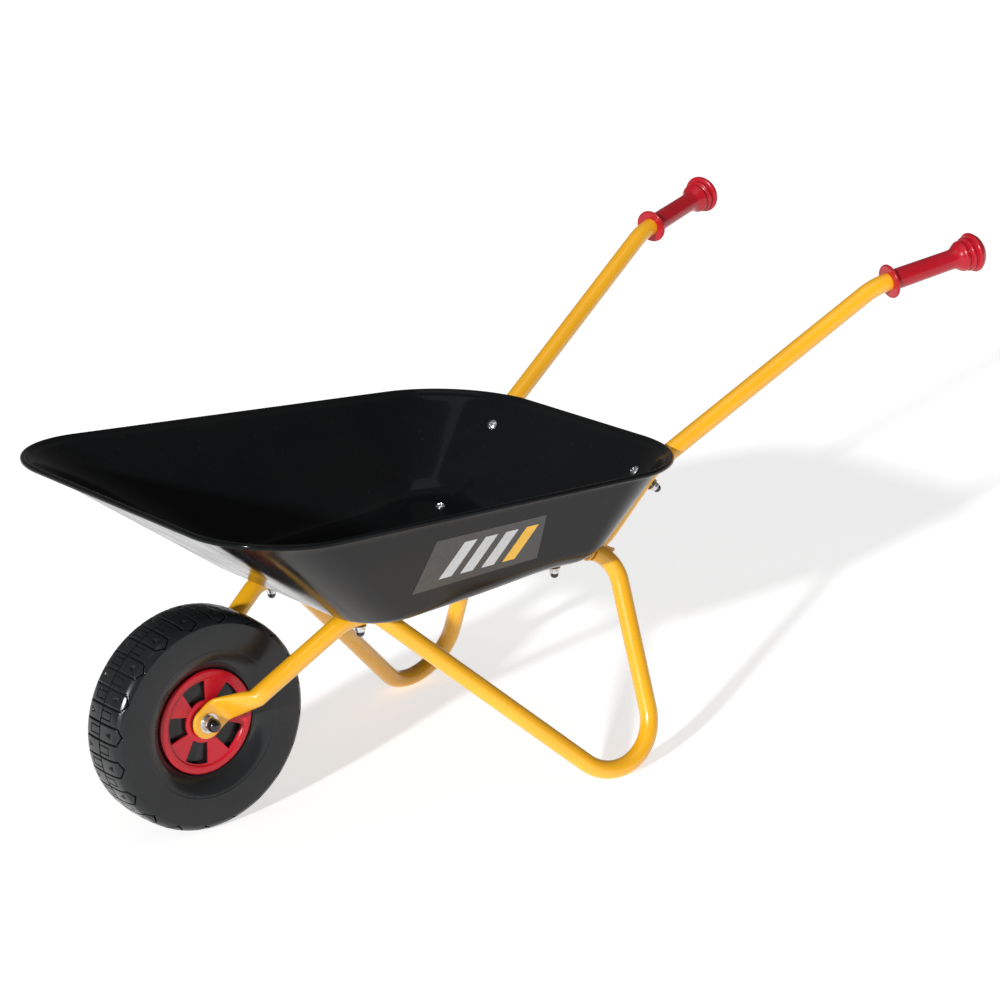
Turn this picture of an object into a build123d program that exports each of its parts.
from build123d import *
import os
from math import atan, cos, degrees, hypot, radians, sin, tan

# A child-size metal wheelbarrow: a pressed tray on two bent tubes, with one plastic wheel.
# Millimetres. +X runs back to the grips, +Y to the left, +Z up, and the ground is Z = 0.
# X is measured from the wheel axle while building, and moved to the middle on export.
# Points on one side are written with their width as positive; right() puts them at -Y.

AXLE_TO_MIDDLE = 319.1        # from the axle back to the middle of the overall length
FIT_GAP = 0.05                # between parts that touch without being joined

# ---- wheel ----
TYRE_R = 92.5                 # to the top of the tread blocks
TYRE_WIDTH = 50.6
TREAD_DEPTH = 1.9
TREAD_PAIRS = 20              # a six-sided block and a slotted block, round each shoulder
TREAD_TURN = 11.6             # first right-hand six-sided block, from straight back towards the top
TREAD_STAGGER = 0.5           # of a pair, between one shoulder and the other
TREAD_MIDDLE = 0.6            # half the groove round the middle of the tread
GROOVE = 1.3
BLOCK_HALF = 7.25             # along the tread, to the middle of a groove
BLOCK_SIDE_Y = 21.3           # where a six-sided block's sides turn in to its point
BLOCK_POINT_Y = 24.0
SLOT = 0.9                    # the U pressed into a slotted block
SLOT_HALF = 3.2
SLOT_END_Y = 12.6
DIMPLE_START_Y = 9.2          # the three-cornered dimple in a six-sided block
DIMPLE_END_Y = 15.4
DIMPLE_HALF = 3.0
TYRE_WALL = 2.6
TYRE_WEB_Y = 9.6              # outer face of the flat web behind the hub discs
TYRE_WEB_WALL = 2.6
TYRE_BORE_R = 12.6
HUB_SEAT_R = 45.2             # recess that holds the hub disc
HUB_R = 44.5
HUB_FACE_Y = 16.2             # outer face of the disc's rim ring
HUB_BACK_Y = 9.8
HUB_BOSS_Y = 13.2             # outer face of the middle, set in from the rim ring
HUB_BORE_R = 12.5
HUB_WINDOWS = 5
HUB_WINDOW_TURN = 37.0        # first window, from straight back towards the top
HUB_WINDOW_ANGLE = 36.0
HUB_WINDOW_INNER_R = 18.0
HUB_WINDOW_OUTER_R = 36.0
SLEEVE_R = 12.4
SLEEVE_HALF = 13.4
AXLE_R = 4.0
AXLE_HALF = 28.5
AXLE_RUNNING_GAP = 0.05
AXLE_FORK_GAP = 0.15
AXLE_Z = TYRE_R
SPACER_R = 9.0
AXLE_WASHER_R = 8.6
AXLE_WASHER_H = 1.2
AXLE_NUT_FLATS = 13.0
AXLE_NUT_H = 4.8
AXLE_CAP_R = 5.8
AXLE_CAP_H = 6.6
AXLE_CAP_DOME = 4.2

# ---- fork end: the squashed tube, lying flat on the axle ----
FLAT_Y = 16.8                 # middle of the flat
FLAT_THICK = 3.4
FLAT_R = 13.6
FLAT_LENGTH = 12.5            # straight part, from the axle
# Sections of the step out to the round tube: distance along the fork, distance from the
# middle of the barrow, turn away from straight ahead in degrees, thickness and width.
FLAT_STEP = [
    (12.0, 16.8, 0.0, 3.4, 27.0),
    (17.0, 19.8, 42.0, 4.6, 24.5),
    (26.0, 30.8, 48.0, 8.6, 21.5),
    (33.0, 38.6, 34.0, 13.0, 18.0),
]

STEP_LAP = 1.2                # the step runs a little way over the round tube
STEP_OVER = 0.5               # and is this much wider there

# ---- main tubes ----
TUBE_R = 8.0
TUBE_WALL = 1.5
FORK_RISE = 0.724             # height gained per length
FORK_SPLAY = 0.252            # width gained per length, on each side
FORK_Y = 35.6                 # fork line's half spread, carried down to the axle
FORK_START_X = 30.0
FORK_TOP_X = 105.0
KNEE_X = 364.0
KNEE_Y = 81.0
SHOULDER = (406.3, 102.9, 255.4)
HANDLE_BACK = 14.9            # from the grip's flange forward to the handle's last bend
FORK_BEND = 32.0
KNEE_BEND = 34.0
SHOULDER_BEND = 46.0
ELBOW_BEND = 75.0
TUBE_IN_GRIP = 84.0

# ---- grips ----
GRIP_START = (635.8, 155.8, 394.1)    # middle of the guard flange
GRIP_RISE = 0.216
GRIP_SPLAY = 0.233
GRIP_LENGTH = 98.0
GRIP_R_FRONT = 9.3
GRIP_R_REAR = 8.9
FLANGE_R = 15.4
KNOB_R = 17.9

# ---- tray: outer skin ----
FLOOR_RISE = 0.068            # the floor climbs towards the handles
FLOOR_Z = 170.1               # underside of the floor, carried to X = 0
FLOOR_FRONT_X = 91.0
FLOOR_REAR_X = 344.0
FLOOR_HALF_FRONT = 115.5
FLOOR_HALF_REAR = 127.0
FLOOR_CORNER_FRONT = 40.0
FLOOR_CORNER_REAR = 39.0
FLOOR_FILLET = 33.0
RIM_DROP = 0.0373             # the rim falls towards the handles
RIM_Z = 286.8                 # middle of the rolled edge, carried to X = 0
RIM_FRONT_X = -73.9
RIM_REAR_X = 417.8
RIM_HALF = 191.2              # half width to the rolled edge at X = 0
RIM_TAPER = 0.0592            # half width lost per length
RIM_CORNER_FRONT = 79.0
RIM_CORNER_REAR = 95.5
BEAD_R = 2.4
LIP_WIDTH = 8.0               # gentle ledge between the wall and the rolled edge
LIP_HEIGHT = 3.2
SHEET = 1.7                   # sheet thickness, measured upright

# ---- tray fasteners ----
BOLT_R = 2.5
BOLT_HOLE_R = 2.75
HEAD_R = 4.8
HEAD_H = 2.6
HEAD_ROUND = 1.5
RECESS_DEPTH = 1.2
RECESS_LENGTH = 5.0
RECESS_WIDTH = 1.1
SHANK_PAST_NUT = 1.5
WASHER_R = 5.5
WASHER_H = 1.0
NUT_FLATS = 8.0
NUT_H = 4.0
CAP_R = 3.6
CAP_H = 5.0
CAP_DOME = 2.9
FRONT_BOLT_X = 120.0
REAR_BOLT_X = 316.5
WALL_BOLT_X = 399.4
WALL_BOLT_IN = (-1.15, 0.4, 1.0)      # right-hand bolt, towards the inside of the tray
WALL_BOLT_LIFT = 2.55                 # the head stands off the tube where the wall curves
WALL_NUT_DROP = 1.2                   # and the washer, where the tube leans across the bolt

# ---- legs ----
LEG_FRONT_TOP = (139.0, 66.4, 167.0)
LEG_VERTEX = (375.4, 170.5, -47.5)    # where the two straight runs would meet below the ground
LEG_REAR_TOP = (374.6, 91.2, 174.2)
LEG_END = (346.0, 84.5, 187.5)
LEG_FOOT_BEND = 42.8
LEG_TOP_BEND = 34.0
WELD_GAP = 0.02


def floor_z(x):
    """Underside of the tray floor."""
    return FLOOR_Z + FLOOR_RISE * x


def mirrored(shape):
    return mirror(shape, about=Plane.XZ)


def right(point):
    """A point on the right-hand side, from one given with its width as positive."""
    return Vector(point[0], -point[1], point[2])


def unit(vector):
    return Vector(*vector).normalized()


# ---- the main tube's corners ----
RUN_DROP = TUBE_R * hypot(1, FLOOR_RISE) + FIT_GAP
FORK_START = (FORK_START_X, FORK_Y + FORK_SPLAY * FORK_START_X, AXLE_Z + FORK_RISE * FORK_START_X)
FORK_TOP = (FORK_TOP_X, FORK_Y + FORK_SPLAY * FORK_TOP_X, floor_z(FORK_TOP_X) - RUN_DROP)
KNEE = (KNEE_X, KNEE_Y, floor_z(KNEE_X) - RUN_DROP)
ELBOW = (GRIP_START[0] - HANDLE_BACK, GRIP_START[1] - HANDLE_BACK * GRIP_SPLAY,
         GRIP_START[2] - HANDLE_BACK * GRIP_RISE)
GRIP_AXIS = unit((1, -GRIP_SPLAY, GRIP_RISE))
FLOOR_UP = unit((-FLOOR_RISE, 0, 1))
FORK_SLOPE = atan(FORK_RISE)


def tube_centre_at(x, start, end):
    """The point of a straight run at a given X."""
    share = (x - start.X) / (end.X - start.X)
    return start + (end - start) * share


def swept(path, radius):
    """A round bar along a path."""
    section = Plane(origin=path @ 0, z_dir=path % 0) * Circle(radius)
    return sweep(section, path=path)


# ---- tray bolts ----------------------------------------------------------

def bolt_places():
    """Tube centre, inward direction, head lift and nut drop of the right-hand side's bolts."""
    front = tube_centre_at(FRONT_BOLT_X, right(FORK_TOP), right(KNEE))
    rear = tube_centre_at(REAR_BOLT_X, right(FORK_TOP), right(KNEE))
    wall = tube_centre_at(WALL_BOLT_X, right(KNEE), right(SHOULDER))
    return {
        "front_floor": (front, FLOOR_UP, 0, 0),
        "rear_floor": (rear, FLOOR_UP, 0, 0),
        "rear_wall": (wall, unit(WALL_BOLT_IN), WALL_BOLT_LIFT, WALL_NUT_DROP),
    }


def bolt_plane(place, offset):
    """A plane across the bolt, a distance inward from the tube's middle."""
    centre, inward, lift, drop = place
    return Plane(origin=centre + inward * offset, z_dir=inward)


def washer_face(place):
    """Where the washer meets the tube, as a distance inward from the tube's middle."""
    centre, inward, lift, drop = place
    return -TUBE_R - FIT_GAP - drop


def bolt_hole(place):
    reach = TUBE_R + FLOOR_FILLET / 2
    return bolt_plane(place, -reach) * extrude(Circle(BOLT_HOLE_R), 2 * reach)


def tray_bolt(place):
    """Low round head with a driving recess, and its shank."""
    centre, inward, lift, drop = place
    seat = TUBE_R + 2 * FIT_GAP + SHEET * inward.Z + lift
    head = bolt_plane(place, seat) * extrude(Circle(HEAD_R), HEAD_H)
    head = fillet(head.faces().sort_by(Axis(centre, inward))[-1].edges(), HEAD_ROUND)
    cross = Rectangle(RECESS_LENGTH, RECESS_WIDTH) + Rectangle(RECESS_WIDTH, RECESS_LENGTH)
    head -= bolt_plane(place, seat + HEAD_H - RECESS_DEPTH) * extrude(cross, HEAD_H)
    bottom = washer_face(place) - WASHER_H - NUT_H - SHANK_PAST_NUT
    shank = bolt_plane(place, bottom) * extrude(Circle(BOLT_R), seat - bottom)
    return head + shank


def tray_washer(place):
    ring = extrude(Circle(WASHER_R) - Circle(BOLT_HOLE_R), WASHER_H)
    return bolt_plane(place, washer_face(place) - WASHER_H) * ring


def tray_nut(place):
    body = RegularPolygon(NUT_FLATS / 2, 6, major_radius=False) - Circle(BOLT_R)
    top = washer_face(place) - WASHER_H
    return bolt_plane(place, top - NUT_H) * extrude(body, NUT_H)


def tray_cap(place):
    """Black domed cap pressed over the shank's end, below the nut."""
    centre, inward, lift, drop = place
    top = washer_face(place) - WASHER_H - NUT_H
    cap = bolt_plane(place, top - CAP_H) * extrude(Circle(CAP_R), CAP_H)
    cap = fillet(cap.faces().sort_by(Axis(centre, inward))[0].edges(), CAP_DOME)
    return cap - bolt_plane(place, top - SHANK_PAST_NUT) * extrude(Circle(BOLT_R), CAP_H)


# ---- tubes ---------------------------------------------------------------

def main_tube_path():
    """Fork, run under the tray, climb behind its rear wall, handle and grip, in one tube."""
    end = right(GRIP_START) + GRIP_AXIS * TUBE_IN_GRIP
    corners = [right(p) for p in (FORK_START, FORK_TOP, KNEE, SHOULDER, ELBOW)]
    bends = [FORK_BEND, KNEE_BEND, SHOULDER_BEND, ELBOW_BEND]
    return FilletPolyline(*corners, end, radius=bends)


def fork_section(along, side, turn, thick, width):
    """A flattened section of the fork, square to its own line."""
    rise = Vector(cos(FORK_SLOPE), 0, sin(FORK_SLOPE))
    across = Vector(-sin(FORK_SLOPE), 0, cos(FORK_SLOPE))
    centre = Vector(0, -side, AXLE_Z) + rise * along
    line = rise * cos(radians(turn)) - Vector(0, sin(radians(turn)), 0)
    plane = Plane(origin=centre, x_dir=across, z_dir=line)
    return plane * RectangleRounded(width, thick, thick / 2 - 0.01)


def flattened_end():
    """The fork's squashed end: a flat round lobe on the axle, stepping out to the round tube."""
    lobe_side = Plane(origin=(0, -FLAT_Y - FLAT_THICK / 2, AXLE_Z), z_dir=(0, 1, 0))
    lobe = lobe_side * extrude(Circle(FLAT_R), FLAT_THICK)
    along_fork = (cos(FORK_SLOPE), 0, sin(FORK_SLOPE))
    tab = Plane(origin=(0, -FLAT_Y, AXLE_Z), x_dir=along_fork, z_dir=(0, 1, 0))
    straight = Box(FLAT_LENGTH, 2 * FLAT_R - 0.2, FLAT_THICK)
    lobe += tab * Pos(FLAT_LENGTH / 2, 0, 0) * straight
    splay = degrees(atan(FORK_SPLAY * cos(FORK_SLOPE)))
    round_at = FORK_START_X / cos(FORK_SLOPE) + STEP_LAP
    round_side = FORK_START[1] + STEP_LAP * sin(radians(splay))
    round_width = 2 * TUBE_R + STEP_OVER
    sections = [fork_section(*row) for row in FLAT_STEP]
    sections.append(fork_section(round_at, round_side, splay, round_width, round_width))
    return lobe + loft(sections)


def main_tube():
    path = main_tube_path()
    tube = swept(path, TUBE_R) + flattened_end()
    tube -= swept(path, TUBE_R - TUBE_WALL)
    axle_hole = extrude(Circle(AXLE_R + AXLE_FORK_GAP), 2 * FLAT_Y)
    tube -= Plane(origin=(0, 0, AXLE_Z), z_dir=(0, -1, 0)) * axle_hole
    for place in bolt_places().values():
        tube -= bolt_hole(place)
    return tube


def leg_path():
    points = [right(p) for p in (LEG_FRONT_TOP, LEG_VERTEX, LEG_REAR_TOP, LEG_END)]
    return FilletPolyline(*points, radius=[LEG_FOOT_BEND, LEG_TOP_BEND])


def leg_tube():
    """A V-shaped leg, its two ends coped to the underside of the main tube."""
    path = leg_path()
    tube = swept(path, TUBE_R) - swept(path, TUBE_R - TUBE_WALL)
    tube -= swept(main_tube_path(), TUBE_R + WELD_GAP)
    return tube.solids().sort_by(SortBy.VOLUME)[-1]


# ---- tray ----------------------------------------------------------------

def outline(front_x, rear_x, front_half, rear_half, front_r, rear_r, z_at_0, slope):
    """A rounded four-sided outline on a plane that tilts about Y."""
    stretch = hypot(1, slope)
    corners = [
        (front_x * stretch, -front_half),
        (rear_x * stretch, -rear_half),
        (rear_x * stretch, rear_half),
        (front_x * stretch, front_half),
    ]
    plane = Plane(origin=(0, 0, z_at_0), x_dir=(1, 0, slope), z_dir=(-slope, 0, 1))
    radii = [front_r, rear_r, rear_r, front_r]
    edge = FilletPolyline(*corners, radius=radii, close=True)
    return plane * edge


def floor_outline():
    return outline(FLOOR_FRONT_X, FLOOR_REAR_X, FLOOR_HALF_FRONT, FLOOR_HALF_REAR,
                   FLOOR_CORNER_FRONT, FLOOR_CORNER_REAR, FLOOR_Z, FLOOR_RISE)


def rim_outline(inset, drop):
    """The rolled edge's line, moved inward and down."""
    front_x = RIM_FRONT_X + inset
    rear_x = RIM_REAR_X - inset
    front_half = RIM_HALF - RIM_TAPER * front_x - inset
    rear_half = RIM_HALF - RIM_TAPER * rear_x - inset
    return outline(front_x, rear_x, front_half, rear_half,
                   RIM_CORNER_FRONT - inset, RIM_CORNER_REAR - inset, RIM_Z - drop, -RIM_DROP)


def tray_block():
    """The space inside the tray's outer skin, up to the rolled edge."""
    bottom = make_face(floor_outline())
    wall_top = make_face(rim_outline(LIP_WIDTH, LIP_HEIGHT))
    lip_edge = make_face(rim_outline(0, 0))
    body = loft([bottom, wall_top], ruled=True)
    floor_edges = body.faces().sort_by(Axis.Z)[0].edges()
    body = fillet(floor_edges, FLOOR_FILLET)
    return body + loft([wall_top, lip_edge], ruled=True)


def tray():
    block = tray_block()
    pan = block - Pos(0, 0, SHEET) * block
    line = rim_outline(0, -SHEET / 2)
    bead_plane = Plane(origin=line @ 0, z_dir=line % 0)
    pan += sweep(bead_plane * Circle(BEAD_R), path=line)
    for place in bolt_places().values():
        hole = bolt_hole(place)
        pan -= hole
        pan -= mirrored(hole)
    return pan


# ---- wheel ---------------------------------------------------------------

def both_sides(half_section):
    """A closed outline from its half on the +Y side, X as radius and Y across the wheel."""
    return half_section + [(r, -y) for r, y in reversed(half_section) if y > 0]


def turned(half_section):
    """A ring about the wheel's axis from a half section."""
    face = make_face(Polyline(*both_sides(half_section), close=True))
    return revolve(face, Axis.Y, 360)


def tyre_carcass():
    """Hollow ring: crown, rounded shoulder, sidewall, bead, hub recess and flat web."""
    half = TYRE_WIDTH / 2
    web_in = TYRE_WEB_Y - TYRE_WEB_WALL
    skin = [(TYRE_R, 0), (TYRE_R - 0.1, 8), (TYRE_R - 0.5, 14), (TYRE_R - 1.5, 19),
            (TYRE_R - 4, half - 2.4), (TYRE_R - 7, half - 0.6), (TYRE_R - 12, half - 0.1),
            (TYRE_R - 20, half), (66, half - 0.6), (58, half - 1.6), (50, half - 6.2),
            (46.5, half - 9.6), (HUB_SEAT_R, 14.6), (HUB_SEAT_R, TYRE_WEB_Y),
            (TYRE_BORE_R, TYRE_WEB_Y)]
    hollow = [(TYRE_R - TREAD_DEPTH - TYRE_WALL, 0), (TYRE_R - 5.4, 13.5), (TYRE_R - 7, 17.6),
              (TYRE_R - 10.5, half - 4.3), (TYRE_R - 15, half - TYRE_WALL - 0.4),
              (TYRE_R - 20, half - TYRE_WALL), (60, half - 4.6), (52, half - 8.8),
              (HUB_SEAT_R + TYRE_WALL, half - 13.4), (HUB_SEAT_R + TYRE_WALL, web_in),
              (TYRE_BORE_R + TYRE_WALL, web_in)]
    return turned(skin) - turned(hollow)


def through_tread(outline, side):
    """A prism straight out through the tread, from points (across, along) the right way round."""
    facing_out = Plane(origin=(0, 0, 0), x_dir=(0, 1, 0), z_dir=(1, 0, 0))
    edge = Polyline(*[(side * across, along) for across, along in outline], close=True)
    return extrude(facing_out * make_face(edge), TYRE_R + 2 * TREAD_DEPTH)


def block_groove(side):
    """The groove along both sides and round the point of a six-sided block."""
    out = BLOCK_HALF + GROOVE / 2
    into = BLOCK_HALF - GROOVE / 2
    outline = [(0, out), (BLOCK_SIDE_Y, out), (BLOCK_POINT_Y + GROOVE / 2, 0), (BLOCK_SIDE_Y, -out),
               (0, -out), (0, -into), (BLOCK_SIDE_Y - GROOVE / 2, -into),
               (BLOCK_POINT_Y - GROOVE / 2, 0), (BLOCK_SIDE_Y - GROOVE / 2, into), (0, into)]
    return through_tread(outline, side)


def block_slot(side):
    """The U in a slotted block, open to the middle of the tread."""
    out = SLOT_HALF + SLOT / 2
    into = SLOT_HALF - SLOT / 2
    outline = [(0, out), (SLOT_END_Y, out), (SLOT_END_Y, -out), (0, -out), (0, -into),
               (SLOT_END_Y - SLOT, -into), (SLOT_END_Y - SLOT, into), (0, into)]
    return through_tread(outline, side)


def block_dimple(side):
    outline = [(DIMPLE_START_Y, 0), (DIMPLE_END_Y, DIMPLE_HALF), (DIMPLE_END_Y, -DIMPLE_HALF)]
    return through_tread(outline, side)


def tread_cuts():
    """All the grooves, slots and dimples, no deeper than the tread."""
    half = TYRE_WIDTH / 2
    floor = TYRE_R - TREAD_DEPTH
    beyond = TYRE_R + TREAD_DEPTH
    crust = [(beyond, 0), (beyond, half + 3), (TYRE_R - 6, half + 3), (TYRE_R - 8.2, half - 1.3),
             (TYRE_R - 5.4, half - 3.9), (TYRE_R - 3.4, 18), (floor - 0.5, 13.6), (floor - 0.1, 7.8),
             (floor, 0)]
    pair = 360 / TREAD_PAIRS
    cuts = []
    for side in (1, -1):
        first = TREAD_TURN - (TREAD_STAGGER * pair if side > 0 else 0)
        for k in range(TREAD_PAIRS):
            turn = Rot(0, -(first + k * pair), 0)
            half_pair = Rot(0, -(first + (k + 0.5) * pair), 0)
            cuts += [turn * block_groove(side), turn * block_dimple(side), half_pair * block_slot(side)]
    cuts.append(turned([(beyond, 0), (beyond, TREAD_MIDDLE), (floor, TREAD_MIDDLE), (floor, 0)]))
    return turned(crust), cuts


def tyre():
    crust, cuts = tread_cuts()
    return Pos(0, 0, AXLE_Z) * (tyre_carcass() - (crust & cuts))


def hub_window():
    """The tapering hole between two spokes, as a tool through the disc."""
    spread = tan(radians(HUB_WINDOW_ANGLE / 2))
    inner = HUB_WINDOW_INNER_R
    outer = HUB_WINDOW_OUTER_R
    edge = Polyline((inner, -inner * spread), (outer, -outer * spread), (outer, outer * spread),
                    (inner, inner * spread), close=True)
    facing_right = Plane(origin=(0, 0, 0), x_dir=(1, 0, 0), z_dir=(0, -1, 0))
    return facing_right * extrude(make_face(edge), 2 * HUB_FACE_Y)


def hub_disc():
    """Right-hand disc: a rim ring, five spokes and a middle boss, slightly dished."""
    face = HUB_FACE_Y
    half_section = [(HUB_BORE_R, HUB_BACK_Y), (HUB_R - 0.5, HUB_BACK_Y), (HUB_R - 0.5, face - 2.3),
                    (HUB_R, face - 1.6), (HUB_R, face - 0.8), (HUB_R - 0.8, face), (38.2, face),
                    (36.6, face - 1.6), (17.0, HUB_BOSS_Y), (HUB_BORE_R, HUB_BOSS_Y)]
    outer_side = [(r, -y) for r, y in half_section]
    disc = revolve(make_face(Polyline(*outer_side, close=True)), Axis.Y, 360)
    for k in range(HUB_WINDOWS):
        turn = HUB_WINDOW_TURN + k * 360 / HUB_WINDOWS
        disc -= Rot(0, -turn, 0) * hub_window()
    return Pos(0, 0, AXLE_Z) * disc


def on_axle(face, near, far):
    """A face run along the axle on the right-hand side, between two distances from the middle."""
    return Plane(origin=(0, -far, AXLE_Z), z_dir=(0, 1, 0)) * extrude(face, far - near)


def hub_sleeve():
    """Plain bush through both discs, which runs on the axle."""
    ring = Circle(SLEEVE_R) - Circle(AXLE_R + AXLE_RUNNING_GAP)
    return on_axle(ring, -SLEEVE_HALF, SLEEVE_HALF)


def axle():
    return on_axle(Circle(AXLE_R), -AXLE_HALF, AXLE_HALF)


FORK_IN = FLAT_Y - FLAT_THICK / 2
FORK_OUT = FLAT_Y + FLAT_THICK / 2


def axle_spacer():
    ring = Circle(SPACER_R) - Circle(AXLE_R + FIT_GAP)
    return on_axle(ring, SLEEVE_HALF + 0.3, FORK_IN)


def axle_washer():
    ring = Circle(AXLE_WASHER_R) - Circle(AXLE_R + FIT_GAP)
    return on_axle(ring, FORK_OUT, FORK_OUT + AXLE_WASHER_H)


def axle_nut():
    body = RegularPolygon(AXLE_NUT_FLATS / 2, 6, major_radius=False) - Circle(AXLE_R)
    start = FORK_OUT + AXLE_WASHER_H
    return on_axle(body, start, start + AXLE_NUT_H)


def axle_cap():
    """Black domed cap over the rod's end."""
    start = FORK_OUT + AXLE_WASHER_H + AXLE_NUT_H
    cap = on_axle(Circle(AXLE_CAP_R), start, start + AXLE_CAP_H)
    cap = fillet(cap.faces().sort_by(Axis.Y)[0].edges(), AXLE_CAP_DOME)
    return cap - axle()


# ---- grip ----------------------------------------------------------------

def grip_profile():
    """Outer half section along the grip: guard flange, sleeve, and a stepped end knob."""
    flange = [(-1.3, TUBE_R + FIT_GAP), (-1.3, FLANGE_R - 0.6), (-0.7, FLANGE_R), (0.9, FLANGE_R),
              (1.5, FLANGE_R - 0.6), (1.5, GRIP_R_FRONT + 1.2)]
    sleeve = [(2.7, GRIP_R_FRONT), (66.0, GRIP_R_REAR), (69.5, 10.0)]
    rings = [(74.0, 13.2), (76.2, 13.9), (78.6, 13.9), (79.4, 12.9), (80.2, 12.9), (81.0, 15.0),
             (83.6, 15.4), (84.4, 14.4), (85.2, 14.4)]
    knob = [(86.2, KNOB_R - 0.5), (88.2, KNOB_R), (90.6, KNOB_R - 0.6), (94.0, 14.2),
            (96.6, 9.4), (GRIP_LENGTH, 0)]
    bore = [(TUBE_IN_GRIP + 0.5, 0), (TUBE_IN_GRIP + 0.5, TUBE_R + FIT_GAP)]
    return flange + sleeve + rings + knob + bore


def grip():
    body = revolve(make_face(Polyline(*grip_profile(), close=True)), Axis.X, 360)
    upward = Vector(0, 0, 1) - GRIP_AXIS * GRIP_AXIS.Z
    place = Plane(origin=right(GRIP_START), x_dir=GRIP_AXIS, z_dir=upward)
    return place * body


# ---- export --------------------------------------------------------------

def save(node, solids):
    """Write one node, moved so that the overall length is centred on the origin."""
    shape = Compound(children=[Pos(-AXLE_TO_MIDDLE, 0, 0) * s for s in solids])
    shape.label = node
    export_step(shape, os.path.join("parts", node + ".step"))


def save_pair(node, solid):
    save(node + "_right", [solid])
    save(node + "_left", [mirrored(solid)])


def main():
    os.makedirs("parts", exist_ok=True)
    save_pair("main_tube", main_tube())
    save_pair("leg_tube", leg_tube())
    save_pair("grip", grip())
    save("tray", [tray()])
    save("tyre", [tyre()])
    save_pair("hub_disc", hub_disc())
    save("hub_sleeve", [hub_sleeve()])
    save("axle", [axle()])
    save_pair("axle_spacer", axle_spacer())
    save_pair("axle_washer", axle_washer())
    save_pair("axle_nut", axle_nut())
    save_pair("axle_cap", axle_cap())
    makers = {"bolts": tray_bolt, "washers": tray_washer, "nuts": tray_nut, "nut_caps": tray_cap}
    for name, place in bolt_places().items():
        for kind, make in makers.items():
            solid = make(place)
            save(name + "_" + kind, [solid, mirrored(solid)])


main()
